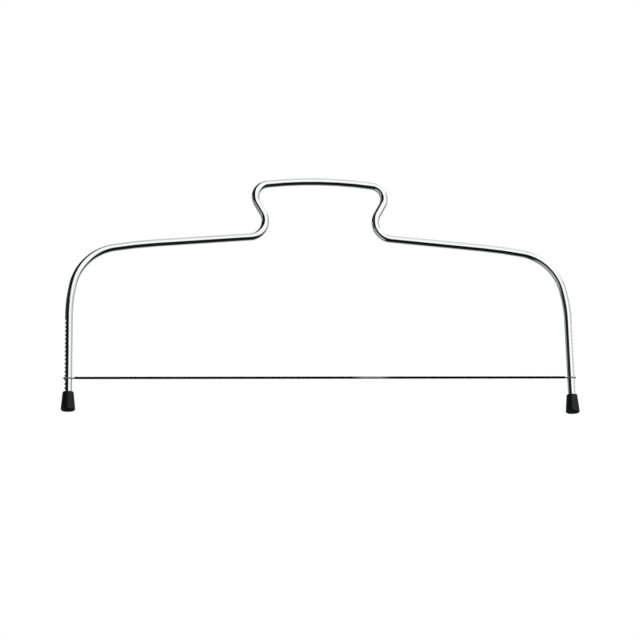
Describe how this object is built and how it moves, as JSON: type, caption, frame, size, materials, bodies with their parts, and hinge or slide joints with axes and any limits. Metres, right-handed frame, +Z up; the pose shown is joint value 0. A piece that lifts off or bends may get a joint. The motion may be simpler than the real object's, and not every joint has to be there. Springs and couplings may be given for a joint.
{
  "type": "cake leveler",
  "caption": "Wire cake leveler: one bent chrome rod frame with a raised handle, notched legs with rubber feet, and a twisted cutting wire hung across the legs.",
  "frame": {"origin": "on the table, midway between the two rubber feet, under the crown of the handle", "axes": "+X across the tool from the left leg to the right leg, front faces -Y, +Z up"},
  "size_m": [0.3238, 0.0088, 0.1512],
  "materials": {
    "chrome_rod": "bright plated steel rod",
    "steel_wire": "blackened drawn steel, three runs of one strand twisted",
    "rubber_foot": "moulded black rubber with a slight sheen"
  },
  "bodies": {
    "frame": {"bent_frame": "chrome_rod", "left_foot": "rubber_foot", "right_foot": "rubber_foot"},
    "wire": {"cutting_wire": "steel_wire", "left_wire_eye": "steel_wire", "right_wire_eye": "steel_wire"}
  },
  "joints": [
    {"name": "wire_height", "type": "slide", "parent": "frame", "child": "wire", "axis": [0, 0, 1], "range_m": [-0.00765, 0.03315]}
  ]
}
